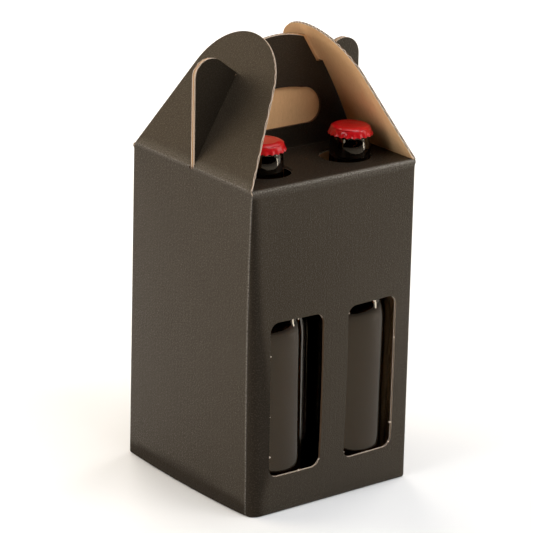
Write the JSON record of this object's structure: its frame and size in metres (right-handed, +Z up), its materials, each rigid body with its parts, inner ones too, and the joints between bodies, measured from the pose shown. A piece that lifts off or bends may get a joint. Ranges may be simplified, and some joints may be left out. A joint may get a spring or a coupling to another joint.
{
  "type": "beer bottle carrier",
  "caption": "Upright carrier folded from dark corrugated board, with tall windows, leaning side flaps and a folded handle, filled with capped long-neck beer bottles.",
  "frame": {"origin": "middle of the carton's foot, on the surface it stands on", "axes": "+Z up; the front wall with its windows faces -Y, and the leaning flaps are at -X and +X"},
  "size_m": [0.131, 0.1358, 0.2914],
  "materials": {
    "board": "dark printed outside, natural kraft inside, pale raw cut edges",
    "glass": "dark brown bottle glass, smooth and glossy",
    "beer": "amber liquid",
    "cap": "glossy red enamel"
  },
  "bodies": {
    "root": {"carton": "board", "bottle_front_left": "glass", "bottle_front_right": "glass", "bottle_back_left": "glass", "bottle_back_right": "glass", "beer_front_left": "beer", "beer_front_right": "beer", "beer_back_left": "beer", "beer_back_right": "beer", "cap_front_left": "cap", "cap_front_right": "cap", "cap_back_left": "cap", "cap_back_right": "cap"}
  },
  "joints": []
}
